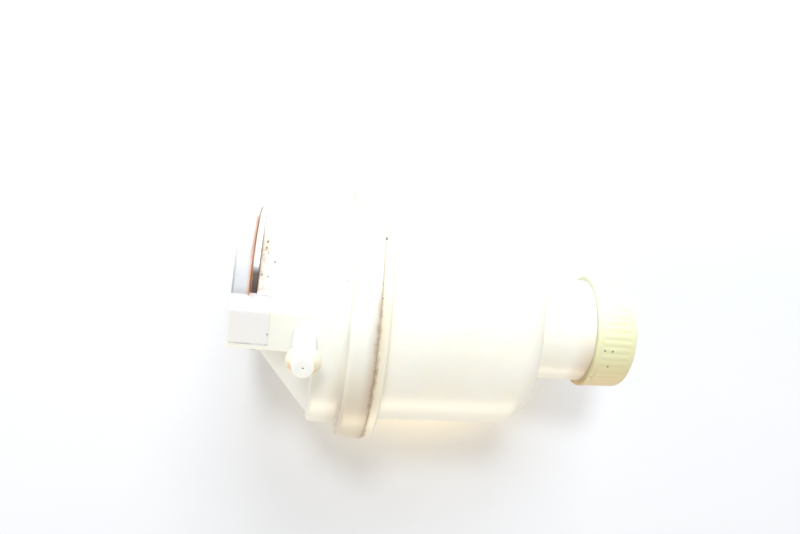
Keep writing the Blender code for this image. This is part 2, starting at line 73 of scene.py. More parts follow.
SEAM_X = COVER_HIGH.x
FLANGE_R = COVER_HIGH.z
RIM_X = 30.1
TIER_X = 21.6
TIER_R = 31.9
DRUM_X = CLIP_HIGH.x + SLIT
DRUM_R = 27.4
DRUM_BORE_R = 25.0
CONE_X = 7.4
CONE_R = 13.6
END_WALL_X = 12.8
ROOM_X = 15.0
WALL = 2.4
SHOULDER_Z = COLLAR_HIGH.z
SHOULDER_LOW_Y = 0.9
SHOULDER_TOP_Y = 13.5
SHOULDER_FILLET = 2.6
STRIP_TOP_Y = 2.35
LIP_R = 28.3
LIP_X = CLIP_LOW.x - SLIT
BLOCK_X = 10.2
BLOCK_Z = 22.5
SOCKET_R = 9.2
SOCKET_WALL_R = 12.3
SOCKET_X = COLLAR_HIGH.x
BODY_END_X = 83.0
BODY_BACK_R = 28.5
BODY_FILLET = 7.5
FLANGE_BACK_X = 40.1
NECK_R = 14.9
NECK_BORE_R = 11.0
NECK_END_X = 109.6
NECK_SHOULDER_X = CAP_LOW.x - HAIRLINE
THREAD_ROOT_R = 12.9
THREAD_DEPTH = 0.95
THREAD_PITCH = 3.0
THREAD_TURNS = 1.75
THREAD_START_X = 102.6
CAP_BORE_R = 14.2
CAP_END_R = 15.8
RIB_DEPTH = 0.12
CAP_RIBS = 48
NOZZLE_X = (NOZZLE_LOW.x + NOZZLE_HIGH.x) / 2
NOZZLE_Y = (NOZZLE_LOW.y + NOZZLE_HIGH.y) / 2
NOZZLE_R = 3.05
NOZZLE_BORE_R = 1.4
NOZZLE_MOUTH_R = 0.25
NOZZLE_GROOVE = (26.4, 27.6)
NOZZLE_GROOVE_R = 2.3
FLOOR_Z = COVER_LOW.z


# ---------------------------------------------------------------- outlines

def rounded(corners, steps=5):
    """A closed outline from (a, b, fillet radius) corners, each fillet a tangent arc."""
    outline = []
    for i, (a, b, radius) in enumerate(corners):
        here = Vector((a, b))
        before = Vector(corners[i - 1][:2]) - here
        after = Vector(corners[(i + 1) % len(corners)][:2]) - here
        angle = before.angle(after)
        if radius <= 0 or angle > math.radians(178):
            outline.append((a, b))
            continue
        reach = min(radius / math.tan(angle / 2), 0.49 * before.length, 0.49 * after.length)
        radius = reach * math.tan(angle / 2)
        middle = (before.normalized() + after.normalized()).normalized()
        centre = here + middle * radius / math.sin(angle / 2)
        first = here + before.normalized() * reach - centre
        last = here + after.normalized() * reach - centre
        turn = first.angle_signed(last)
        for step in range(steps + 1):
            spoke = Matrix.Rotation(-turn * step / steps, 2) @ first
            outline.append(tuple(centre + spoke))
    return outline


def arc(centre, radius, start, end, steps):
    """Points on an arc from start to end degrees, both included."""
    angles = (math.radians(start + (end - start) * i / steps) for i in range(steps + 1))
    return [(centre[0] + radius * math.cos(t), centre[1] + radius * math.sin(t)) for t in angles]


# ---------------------------------------------------------------- meshes

def finish_mesh(name, shape, sharp_degrees=40):
    """A smooth-shaded object from a bmesh in millimetres."""
    bmesh.ops.recalc_face_normals(shape, faces=shape.faces)
    bmesh.ops.scale(shape, verts=shape.verts, vec=(MM, MM, MM))
    mesh = bpy.data.meshes.new(name)
    shape.to_mesh(mesh)
    shape.free()
    obj = bpy.data.objects.new(name, mesh)
    bpy.context.scene.collection.objects.link(obj)
    mesh.shade_smooth()
    mesh.set_sharp_from_angle(angle=math.radians(sharp_degrees))
    return obj


def surface_of_rows(name, rows, segments, axis="X", centre=(0, 0, 0), offset=None):
    """Revolves a closed outline of (distance, radius); offset(a, angle, i) adds to a radius."""
    shape = bmesh.new()
    middle = Vector(centre)
    rings = []
    for i, (a, r) in enumerate(rows):
        ring = []
        for k in range(segments if r > 1e-6 else 1):
            angle = 2 * math.pi * k / segments
            radius = r + (offset(a, angle, i) if offset and r > 1e-6 else 0)
            u, v = radius * math.cos(angle), radius * math.sin(angle)
            place = {"X": (a, u, v), "Z": (u, v, a)}[axis]
            ring.append(shape.verts.new(middle + Vector(place)))
        rings.append(ring)
    for i, near in enumerate(rings):
        far = rings[(i + 1) % len(rings)]
        if len(near) == len(far) == 1:
            continue
        for k in range(segments):
            quad = [near[k - 1 if len(near) > 1 else 0], near[k if len(near) > 1 else 0],
                    far[k if len(far) > 1 else 0], far[k - 1 if len(far) > 1 else 0]]
            shape.faces.new(list(dict.fromkeys(quad)))
    return finish_mesh(name, shape)


def extruded(name, outline, low_x, high_x, bevel):
    """An outline of (y, z) points extruded along X, with its rims bevelled."""
    shape = bmesh.new()
    face = shape.faces.new([shape.verts.new((low_x, y, z)) for y, z in outline])
    moved = bmesh.ops.extrude_face_region(shape, geom=[face])["geom"]
    verts = [v for v in moved if isinstance(v, bmesh.types.BMVert)]
    bmesh.ops.translate(shape, verts=verts, vec=(high_x - low_x, 0, 0))
    rims = [e for e in shape.edges if abs(e.verts[0].co.x - e.verts[1].co.x) < 1e-6]
    bmesh.ops.bevel(shape, geom=rims, offset=bevel, segments=2, profile=0.5, affect="EDGES")
    return finish_mesh(name, shape)


# ---------------------------------------------------------------- moulded shells
# The cover and the collar are many simple volumes blended with fillets. Each is a distance
# function, negative inside, and its surface is drawn with one vertex in each grid cell.

def blend_min(a, b, width):
    """Union with a fillet about as wide as given."""
    h = np.maximum(width - np.abs(a - b), 0) / width
    return np.minimum(a, b) - h * h * width / 4


def blend_max(a, b, width):
    """Intersection with its edge rounded about as wide as given."""
    return -blend_min(-a, -b, width)


def slab(value, low, high):
    """Negative between low and high."""
    return np.maximum(low - value, value - high)


def polygon_distance(outline, px, py):
    """Distance from each point to a closed outline, negative inside it."""
    nearest = np.full(px.shape, 1e9)
    inside = np.zeros(px.shape, bool)
    for (ax, ay), (bx, by) in zip(outline, outline[1:] + outline[:1]):
        ex, ey = bx - ax, by - ay
        if ex == ey == 0:
            continue
        t = np.clip(((px - ax) * ex + (py - ay) * ey) / (ex * ex + ey * ey), 0, 1)
        nearest = np.minimum(nearest, (px - ax - t * ex) ** 2 + (py - ay - t * ey) ** 2)
        if ey != 0:
            crosses = ((ay > py) != (by > py)) & (px < ax + ex * (py - ay) / ey)
            inside ^= crosses
    return np.where(inside, -1, 1) * np.sqrt(nearest)


class Turned:
    """Distance to a revolved outline of (x, radius), read from a fine table."""

    STEP = 0.1

    def __init__(self, outline, low_x, high_x, high_r):
        xs = np.arange(low_x, high_x, self.STEP)
        rs = np.arange(0, high_r, self.STEP)
        self.low_x = low_x
        self.table = polygon_distance(outline, *np.meshgrid(xs, rs, indexing="ij"))

    def __call__(self, x, r):
        i = np.clip((x - self.low_x) / self.STEP, 0, self.table.shape[0] - 1.001)
        j = np.clip(r / self.STEP, 0, self.table.shape[1] - 1.001)
        i0, j0 = i.astype(int), j.astype(int)
        u, v = i - i0, j - j0
        t = self.table
        near = t[i0, j0] * (1 - v) + t[i0, j0 + 1] * v
        far = t[i0 + 1, j0] * (1 - v) + t[i0 + 1, j0 + 1] * v
        return near * (1 - u) + far * u


def surface_net(name, distance, low, high, step):
    """The zero surface of a distance function, as quads with one vertex in each cell.

    A vertex lies where the tangent planes of its cell's crossings meet, which keeps edges sharp.
    """
    axes = [np.arange(a, b + step, step) for a, b in zip(low, high)]
    origin = np.array([a[0] for a in axes])
    y, z = np.meshgrid(axes[1], axes[2], indexing="ij")
    values = np.stack([distance(np.full(y.shape, x), y, z) for x in axes[0]]).astype(np.float32)
    inside = values < 0
    n = [len(a) - 1 for a in axes]

    def slope(p, reach=0.02):
        parts = []
        for axis in range(3):
            shift = np.zeros(3)
            shift[axis] = reach
            parts.append(distance(*(p + shift).T) - distance(*(p - shift).T))
        return np.stack(parts, 1) / (2 * reach)

    def unit(vectors):
        return vectors / np.maximum(np.linalg.norm(vectors, axis=1, keepdims=True), 1e-9)

    crossings, planes, rings = [], [], []
    for axis in range(3):
        u, v = (axis + 1) % 3, (axis + 2) % 3
        ahead = [slice(None)] * 3
        ahead[axis] = slice(1, None)
        behind = [slice(None)] * 3
        behind[axis] = slice(None, -1)
        start = np.argwhere(inside[tuple(behind)] != inside[tuple(ahead)])
        end = start.copy()
        end[:, axis] += 1
        near, far = values[tuple(start.T)], values[tuple(end.T)]
        crossing = origin + start * step
        crossing[:, axis] += step * near / (near - far)
        ring = []
        for du, dv in ((-1, -1), (0, -1), (0, 0), (-1, 0)):
            cell = start.copy()
            cell[:, u] += du
            cell[:, v] += dv
            ring.append(np.ravel_multi_index(tuple(cell.T), n))
        ring = np.stack(ring, 1)
        crossings.append(crossing)
        planes.append(unit(slope(crossing)))
        rings.append(np.where((near < 0)[:, None], ring, ring[:, ::-1]))
    crossings, planes, rings = (np.concatenate(part) for part in (crossings, planes, rings))
    cells, quads = np.unique(rings, return_inverse=True)
    quads = quads.reshape(rings.shape)

    def gathered(weights):
        return np.bincount(quads.ravel(), np.repeat(weights, 4), len(cells))

    hits = gathered(np.ones(len(crossings)))
    centre = np.stack([gathered(crossings[:, k]) for k in range(3)], 1) / hits[:, None]
    reach = (planes * crossings).sum(1)
    matrix = np.empty((len(cells), 3, 3))
    target = np.empty((len(cells), 3))
    for i in range(3):
        target[:, i] = gathered(planes[:, i] * reach)
        for j in range(3):
            matrix[:, i, j] = gathered(planes[:, i] * planes[:, j])
    target -= np.einsum("nij,nj->ni", matrix, centre)
    matrix += 0.03 * hits[:, None, None] * np.eye(3)
    points = centre + np.linalg.solve(matrix, target[:, :, None])[:, :, 0]
    corner = origin + np.stack(np.unravel_index(cells, n), 1) * step
    points = np.clip(points, corner, corner + step)
    for _ in range(2):
        gradient = slope(points)
        size = np.maximum((gradient ** 2).sum(1), 0.05)
        move = gradient * (distance(*points.T) / size)[:, None]
        length = np.linalg.norm(move, axis=1, keepdims=True)
        points -= move * np.minimum(1, 0.4 * step / np.maximum(length, 1e-9))

    faces = points[quads]
    inset = 0.8 * faces + 0.2 * faces.mean(1, keepdims=True)
    normals = unit(slope(inset.reshape(-1, 3)))
    mesh = bpy.data.meshes.new(name)
    mesh.from_pydata((points * MM).tolist(), [], quads.tolist())
    mesh.shade_smooth()
    mesh.normals_split_custom_set(normals.tolist())
    obj = bpy.data.objects.new(name, mesh)
    bpy.context.scene.collection.objects.link(obj)
    return obj


def shoulder_distance(y, z, fillet):
    """Flat shoulders on both sides, open below, with a fillet on their upper edges."""
    qy = y - (SHOULDER_TOP_Y - fillet)
    qz = np.abs(z) - (SHOULDER_Z - fillet)
    return np.hypot(np.maximum(qy, 0), np.maximum(qz, 0)) + np.minimum(np.maximum(qy, qz), 0) - fillet


def make_cover():
    skirt = Turned(rounded([
        (CONE_X, -5, 0), (CONE_X, CONE_R, 0.5), (20.9, 28.8, 1.0), (TIER_X, 29.5, 0.4), (TIER_X, TIER_R, 2.4),
        (RIM_X, TIER_R, 1.3), (RIM_X, FLANGE_R, 1.2), (SEAM_X, FLANGE_R, 0.12), (SEAM_X, -5, 0)]),
        -2, SEAM_X + 3, FLANGE_R + 3)
    room = Turned(rounded([
        (ROOM_X, -5, 0), (ROOM_X, 18.0, 0.5), (23.9, 28.3, 1.0), (24.4, 29.2, 0.3), (31.0, 29.2, 0.2),
        (31.0, 33.0, 0.2), (SEAM_X + 2, 33.0, 0), (SEAM_X + 2, -5, 0)]),
        -2, SEAM_X + 3, FLANGE_R + 3)

    def distance(x, y, z):
        r = np.hypot(y, z)
        taper = 0.028 * (x - DRUM_X)
        drum = blend_max(r - DRUM_R + taper, DRUM_X - x, 0.35)
        shoulder = np.maximum(shoulder_distance(y, z, SHOULDER_FILLET), BLOCK_X + HAIRLINE - x)
        upper = blend_min(drum, shoulder, 1.6)
        notch = np.maximum(np.maximum(x - BLOCK_X - HAIRLINE, BLOCK_Z - HAIRLINE - np.abs(z)),
                           slab(y, STRIP_TOP_Y, SHOULDER_TOP_Y + HAIRLINE))
        upper = np.maximum(upper, -notch)
        strip = np.maximum(np.maximum(y - STRIP_TOP_Y, np.abs(z) - SHOULDER_Z), -x)
        upper = np.minimum(upper, strip)
        upper = blend_max(blend_max(upper, SHOULDER_LOW_Y - y, 0.5), x - 24.0, 0.3)
        solid = blend_min(upper, skirt(x, r), 2.4)
        half_room = blend_max(blend_max(r - DRUM_BORE_R, SHOULDER_LOW_Y + 1.5 - y, 1.0),
                              slab(x, DRUM_X + WALL, 24.2), 0.6)
        half_room = blend_max(half_room, -np.maximum(r - 14.8, x - ROOM_X), 0.6)
        bore = np.maximum(r - SOCKET_WALL_R - 0.15, x - END_WALL_X)
        duct = np.maximum(r - 5.0, slab(x, 12, ROOM_X + 1))
        around = np.hypot(x - NOZZLE_X, y - NOZZLE_Y)
        boss = np.maximum(around - 5.2, slab(z, 23.6, 28.0))
        nozzle_bore = np.maximum(around - NOZZLE_R - HAIRLINE, slab(z, 20.0, 26.0))
        hollow = np.minimum(np.minimum(room(x, r), half_room), np.minimum(bore, duct))
        solid = blend_max(solid, -hollow, 0.5)
        return np.maximum(np.minimum(solid, boss), -nozzle_bore)

    margin = 1.0
    low = (-margin, -FLANGE_R - margin, -FLANGE_R - margin)
    high = (SEAM_X + margin, FLANGE_R + margin, FLANGE_R + margin)
    return surface_net("cover_shell", distance, low, high, 0.33)


def make_collar():
    low_y = STRIP_TOP_Y + HAIRLINE

    def distance(x, y, z):
        r = np.hypot(y, z)
        lip = np.maximum(blend_max(r - LIP_R, x - LIP_X, 0.35), low_y - y)
        side = np.maximum(shoulder_distance(y, z, SHOULDER_FILLET), BLOCK_Z - np.abs(z))
        side = np.maximum(np.maximum(side, x - BLOCK_X), low_y - y)
        ring = blend_max(r - SOCKET_WALL_R, x - SOCKET_X, 0.5)
        solid = blend_min(np.minimum(lip, side), ring, 0.8)
        solid = blend_max(solid, -x, 0.7)
        mouth = r - SOCKET_R - np.maximum(0, 1.0 - x) * 0.6
        wide = slab(x, CLIP_LOW.x - SLIT, CLIP_HIGH.x + SLIT)
        slot = np.maximum(np.maximum(wide, -y), slab(z, -15, 15))
        legs = np.maximum(np.maximum(wide, CLIP_LOW.y - 0.3 - y), slab(np.abs(z), 7.7, 15))
        legs = np.maximum(legs, y - 1)
        groove = np.maximum(r - 11.2, slab(x, 8.0, 10.8))
        hollow = np.minimum(np.minimum(mouth, groove), np.minimum(slot, legs))
        return blend_max(solid, -hollow, 0.2)

    margin = 1.0
    low = (-margin, COLLAR_LOW.y - margin, -SHOULDER_Z - margin)
    high = (SOCKET_X + margin, COLLAR_HIGH.y + margin, SHOULDER_Z + margin)
    return surface_net("collar_shell", distance, low, high, 0.25)


# ---------------------------------------------------------------- turned pieces

def thread_height(x, angle, start_x):
    """Height of a right-hand thread ridge at x and angle, 0 to 1, fading at both ends."""
    turn = (x - start_x) / THREAD_PITCH - angle / (2 * math.pi)
    nearest = round(turn)
    length = angle / (2 * math.pi) + nearest
    if not 0 <= length <= THREAD_TURNS:
        return 0.0
    off_centre = abs(turn - nearest) * THREAD_PITCH
    flank = min(1.0, max(0.0, (0.72 - off_centre) / 0.32))
    fade = min(1.0, 8 * min(length, THREAD_TURNS - length))
    return flank * fade


def make_chamber():
    low_x = CHAMBER_LOW.x
    flange_x = SEAM_X + 2 * HAIRLINE
    flange_r = CHAMBER_HIGH.z
    end_wall_x = BODY_END_X - WALL
    front = rounded([
        (low_x, 32.7, 0.3), (flange_x, 32.7, 0), (flange_x, flange_r, 0.15), (FLANGE_BACK_X, flange_r, 0.9),
        (FLANGE_BACK_X, 30.3, 0.8), (BODY_END_X, BODY_BACK_R, BODY_FILLET), (BODY_END_X, NECK_R, 0.9),
        (NECK_SHOULDER_X, NECK_R, 0.06), (NECK_SHOULDER_X, THREAD_ROOT_R, 0.2)], steps=8)
    back = rounded([
        (NECK_END_X, THREAD_ROOT_R, 0.4), (NECK_END_X, NECK_BORE_R, 0.4), (end_wall_x, NECK_BORE_R, 0.6),
        (end_wall_x, 26.0, 5.0), (low_x, 27.8, 0.3)], steps=8)
    first_thread = len(front)
    threaded = [(NECK_SHOULDER_X + 0.4 + 0.16 * k, THREAD_ROOT_R) for k in range(54)]
    last_thread = first_thread + len(threaded)

    def offset(x, angle, i):
        if not first_thread <= i < last_thread:
            return 0.0
        return THREAD_DEPTH * thread_height(x, angle, THREAD_START_X)

    return surface_of_rows("chamber_shell", front + threaded + back, 192, offset=offset)


def make_cap():
    low_x = CAP_LOW.x
    high_x = CAP_HIGH.x
    left_r = CAP_HIGH.z
    right_r = CAP_END_R
    steps = 26
    skirt = [(low_x, left_r - 1.6), (low_x, left_r - 0.5), (low_x + 0.15, left_r - 0.2),
             (low_x + 0.5, left_r), (low_x + 1.2, left_r), (low_x + 1.45, left_r - 0.12)]
    ribbed_from, ribbed_to = low_x + 1.7, high_x - 1.5
    ribbed = []
    for k in range(steps + 1):
        t = k / steps
        radius = left_r - 0.15 + (right_r - left_r + 0.2) * t
        ribbed.append((ribbed_from + (ribbed_to - ribbed_from) * t, radius))
    end = arc((high_x - 1.3, right_r - 1.35), 1.3, 90, 0, 8)
    dish = [(high_x, 11.6), (high_x - 0.05, 11.3), (high_x - 0.45, 11.0), (high_x - 0.5, 10.7),
            (high_x - 0.5, 5), (high_x - 0.5, 0)]
    floor_x = high_x - 1.8
    inside = [(floor_x, 0), (floor_x, 12.8), (floor_x - 0.1, 13.9), (floor_x - 0.4, CAP_BORE_R)]
    threaded = [(floor_x - 0.6 - 0.16 * k, CAP_BORE_R) for k in range(56)]
    rows = skirt + ribbed + end + dish + inside + threaded
    first_rib = len(skirt)
    last_rib = first_rib + len(ribbed) - 1
    first_thread = len(rows) - len(threaded)

    def offset(x, angle, i):
        if first_rib <= i <= last_rib:
            ends = min(1.0, (i - first_rib) / 2, (last_rib - i) / 3)
            wave = 0.5 - 0.5 * math.cos(CAP_RIBS * angle)
            return -RIB_DEPTH * ends * wave ** 1.5
        if i >= first_thread:
            return -THREAD_DEPTH * thread_height(x, angle, THREAD_START_X + THREAD_PITCH / 2)
        return 0.0

    return surface_of_rows("cap_shell", rows, CAP_RIBS * 10, offset=offset)


def make_nozzle():
    tip = NOZZLE_HIGH.z
    barb_r = NOZZLE_HIGH.x - NOZZLE_X
    barb_z = tip - 3.2
    root = NOZZLE_LOW.z
    groove_low, groove_high = NOZZLE_GROOVE
    outline = rounded([
        (root, NOZZLE_BORE_R, 0.1), (root, NOZZLE_R, 0.3),
        (groove_low, NOZZLE_R, 0.1), (groove_low, NOZZLE_GROOVE_R, 0.1),
        (groove_high, NOZZLE_GROOVE_R, 0.1), (groove_high, NOZZLE_R, 0.1),
        (barb_z - 1.5, NOZZLE_R - 0.05, 0.5), (barb_z - 0.5, barb_r, 0.35), (barb_z + 0.2, barb_r, 0.35),
        (tip - 0.5, 2.75, 0.5), (tip, 2.5, 0.3),
        (tip, NOZZLE_MOUTH_R, 0.1), (tip - 1, NOZZLE_MOUTH_R, 0.05), (tip - 1, NOZZLE_BORE_R, 0.1)], steps=4)
    return surface_of_rows("nozzle_shell", outline, 64, "Z", (NOZZLE_X, NOZZLE_Y, 0))


def make_clip():
    low_y = STRIP_TOP_Y + 0.45
    side_z = CLIP_HIGH.z
    clip_r = CLIP_HIGH.y
    mouth_r = 8.0
    leg_z = 11.9
    leg_y = CLIP_LOW.y
    half = [(leg_y + 0.8, mouth_r), (leg_y, mouth_r + 0.8), (leg_y, leg_z - 0.8), (leg_y + 0.8, leg_z),
            (low_y, leg_z), (low_y, side_z)]
    start = math.degrees(math.acos(side_z / clip_r))
    half += [(b, a) for a, b in arc((0, 0), clip_r, start, 90, 40)[:-1]]
    outline = half + [(clip_r, 0)] + [(y, -z) for y, z in reversed(half)]
    outline += [(b, -a) for a, b in arc((0, 0), mouth_r, 0, 180, 48)]
    return extruded("clip_plate", outline, CLIP_LOW.x, CLIP_HIGH.x, 0.18)


def make_ring(name, node, axis, ring_r, wire_r):
    low, high = corner_mm(node)
    centre = (low + high) / 2
    place = {"X": (centre.x, 0, 0), "Z": (NOZZLE_X, NOZZLE_Y, centre.z)}[axis]
    return surface_of_rows(name, arc((0, ring_r), wire_r, 0, 360, 20)[:-1], 96, axis, place)


# ---------------------------------------------------------------- materials

class Finish:
    """A material, with short calls for the nodes that it is made of."""

    def __init__(self, name, **values):
        self.material = bpy.data.materials.new(name)
        self.material.use_nodes = True
        self.tree = self.material.node_tree
        self.shader = self.tree.nodes["Principled BSDF"]
        for key, value in values.items():
            self.set(key.replace("_", " "), value)
        place = self.tree.nodes.new("ShaderNodeTexCoord")
        self.position = place.outputs["Object"]
        split = self.node("ShaderNodeSeparateXYZ", self.position)
        self.x, self.y, self.z = (self.math("MULTIPLY", s, 1000.0) for s in split.outputs)

    def set(self, key, value):
        socket = self.shader.inputs[key]
        if isinstance(value, bpy.types.NodeSocket):
            self.tree.links.new(value, socket)
        else:
            socket.default_value = value

    def node(self, kind, *values, **settings):
        made = self.tree.nodes.new(kind)
        for key, value in settings.items():
            setattr(made, key, value)
        for i, value in enumerate(values):
            if value is None:
                continue
            if isinstance(value, bpy.types.NodeSocket):
                self.tree.links.new(value, made.inputs[i])
            else:
                made.inputs[i].default_value = value
        return made

    def math(self, operation, a, b=None, c=None):
        return self.node("ShaderNodeMath", a, b, c, operation=operation).outputs[0]

    def noise(self, scale, detail=3.0, roughness=0.55, stretch=None):
        where = self.position
        if stretch:
            where = self.node("ShaderNodeMapping", where, None, None, stretch).outputs[0]
        made = self.node("ShaderNodeTexNoise", where)
        made.inputs["Scale"].default_value = scale
        made.inputs["Detail"].default_value = detail
        made.inputs["Roughness"].default_value = roughness
        return made.outputs["Fac"]

    def ramp(self, value, low, high, to_low=0.0, to_high=1.0):
        made = self.node("ShaderNodeMapRange", value, low, high, to_low, to_high)
        made.interpolation_type = "SMOOTHSTEP"
        return made.outputs[0]

    def mix(self, factor, a, b):
        made = self.node("ShaderNodeMix", data_type="RGBA")
        sockets = [s for s in made.inputs if s.enabled]
        for socket, value in zip(sockets, (factor, a, b)):
            if isinstance(value, bpy.types.NodeSocket):
                self.tree.links.new(value, socket)
            else:
                socket.default_value = value
        return [s for s in made.outputs if s.enabled][0]

    def times(self, *values):
        result = values[0]
        for value in values[1:]:
            result = self.math("MULTIPLY", result, value)
        return result

    def band(self, value, centre, half_width, soft):
        """1 where value is within half_width of centre, fading out over soft."""
        away = self.math("ABSOLUTE", self.math("SUBTRACT", value, centre))
        return self.ramp(away, half_width + soft, half_width)

    def fleck(self, x, y, radius):
        """1 inside a small round spot at (x, y) in millimetres, on the side that faces +Z."""
        away = self.math("POWER", self.math("SUBTRACT", self.x, x), 2.0)
        away = self.math("ADD", away, self.math("POWER", self.math("SUBTRACT", self.y, y), 2.0))
        spot = self.ramp(away, (1.4 * radius) ** 2, (0.6 * radius) ** 2)
        return self.times(spot, self.ramp(self.z, 0.0, 1.0))

    def stain(self, colour, mask, strength=1.0):
        """Mixes a colour over the finish where the mask is 1."""
        self.colour = self.mix(self.times(mask, strength) if strength < 1 else mask, self.colour, colour)

    def bump(self, height, strength, distance_mm):
        made = self.node("ShaderNodeBump")
        made.inputs["Strength"].default_value = strength
        made.inputs["Distance"].default_value = distance_mm * MM
        self.tree.links.new(height, made.inputs["Height"])
        self.set("Normal", made.outputs[0])


def rgb(r, g, b):
    return (r, g, b, 1.0)


BROWN = rgb(0.16, 0.075, 0.03)
RUST = rgb(0.42, 0.17, 0.055)
SOOT = rgb(0.05, 0.035, 0.025)
DUST = rgb(0.42, 0.30, 0.19)


def plastic(name, light, shade, roughness=0.38, milky=1.0, depth_mm=0.6):
    """Natural moulded polymer: cloudy, slightly mottled, with a fine moulded texture."""
    finish = Finish(name, Roughness=roughness, IOR=1.5)
    finish.set("Subsurface Weight", milky)
    finish.set("Subsurface Radius", (1.0, 0.85, 0.6))
    finish.set("Subsurface Scale", depth_mm * MM)
    cloud = finish.ramp(finish.noise(55.0, 4.0), 0.35, 0.7)
    finish.colour = finish.mix(cloud, light, shade)
    finish.height = finish.noise(1500.0, 2.0)
    return finish


def speckle(finish, region, scale, threshold, colour=SOOT):
    """Fine dirt specks inside a region mask."""
    grain = finish.node("ShaderNodeTexVoronoi", finish.position)
    grain.inputs["Scale"].default_value = scale
    dots = finish.ramp(grain.outputs["Distance"], threshold, threshold * 0.5)
    sparse = finish.ramp(finish.noise(scale * 0.6, 1.0), 0.52, 0.6)
    finish.stain(colour, finish.times(dots, sparse, region))


def seam_grime(finish, side):
    """Dirt drawn into the joint between cover and chamber, heaviest low on the rim."""
    low_side = finish.ramp(finish.y, 30.0, 4.0)
    patchy = finish.ramp(finish.noise(330.0, 5.0, 0.8), 0.4, 0.58)
    wander = finish.math("MULTIPLY_ADD", finish.noise(180.0, 4.0, 0.7), 2.0, -1.0)
    near = finish.band(finish.math("ADD", finish.x, wander), SEAM_X, 0.15, 0.75)
    wide = finish.ramp(finish.x, SEAM_X + side * 3.2, SEAM_X)
    film = finish.times(wide, low_side, finish.ramp(finish.noise(70.0, 3.0), 0.2, 0.6, 0.7, 1.0))
    finish.stain(DUST, film, 0.6 if side < 0 else 0.15)
    finish.stain(BROWN, finish.times(near, low_side, finish.math("MULTIPLY_ADD", patchy, 0.85, 0.15)), 0.5)
    finish.stain(DUST, finish.times(near, finish.ramp(finish.y, 34.0, 24.0)), 0.35)
    speckle(finish, finish.times(near, finish.ramp(finish.y, 34.0, 20.0)), 900.0, 0.22)


def done(finish, strength=0.12, distance_mm=0.03):
    finish.set("Base Color", finish.colour)
    finish.bump(finish.height, strength, distance_mm)
    return finish.material


def cover_plastic():
    finish = plastic("cover_natural_plastic", rgb(0.79, 0.785, 0.72), rgb(0.77, 0.76, 0.69))
    # Painted shade: the tier and rim turn darker and browner towards the bottom.
    low_rim_painted_shade = finish.times(finish.ramp(finish.x, 24.0, 32.0), finish.ramp(finish.y, 12.0, -16.0))
    finish.stain(rgb(0.52, 0.42, 0.28), low_rim_painted_shade, 0.65)
    seam_grime(finish, -1)
    above_ledge = finish.times(finish.ramp(finish.y, 13.9, 14.6), finish.ramp(finish.z, 2.0, 9.0))
    cloud = finish.times(finish.ramp(finish.x, 11.6, DRUM_X), above_ledge, finish.ramp(finish.y, 26.5, 23.5))
    finish.stain(DUST, cloud, 0.45)
    blotch = finish.ramp(finish.noise(420.0, 5.0, 0.8), 0.42, 0.64)
    finish.stain(BROWN, finish.times(cloud, cloud, blotch), 0.5)
    lip_edge = finish.times(finish.ramp(finish.x, DRUM_X + 0.6, DRUM_X + 0.1), above_ledge)
    finish.stain(BROWN, finish.times(lip_edge, finish.ramp(finish.y, 27.0, 24.0)), 0.45)
    for x, y, radius in ((7.7, 24.0, 0.24), (7.6, 23.0, 0.2), (10.1, 20.5, 0.26), (7.1, 17.9, 0.26),
                         (8.7, 17.6, 0.2), (28.7, 20.0, 0.2), (8.2, 22.1, 0.14), (9.2, 19.1, 0.12)):
        finish.stain(SOOT, finish.fleck(x, y, radius), 0.75)
    return done(finish)


def chamber_plastic():
    finish = plastic("chamber_natural_plastic", rgb(0.82, 0.80, 0.73), rgb(0.80, 0.775, 0.69))
    finish.stain(rgb(0.72, 0.64, 0.45), finish.ramp(finish.x, 43.0, 37.0), 0.6)
    seam_grime(finish, 1)
    finish.stain(SOOT, finish.fleck(37.7, 30.1, 0.26), 0.8)
    # Painted shade: the neck turns darker and browner on its underside by the cap; the specks after it are
    # dirt.
    by_cap = finish.ramp(finish.x, 94.0, 100.5)
    finish.stain(rgb(0.60, 0.46, 0.30), finish.times(by_cap, finish.ramp(finish.y, 10.0, -8.0)), 0.7)
    speckle(finish, finish.times(by_cap, finish.ramp(finish.y, 10.0, -10.0)), 300.0, 0.12, BROWN)
    return done(finish)


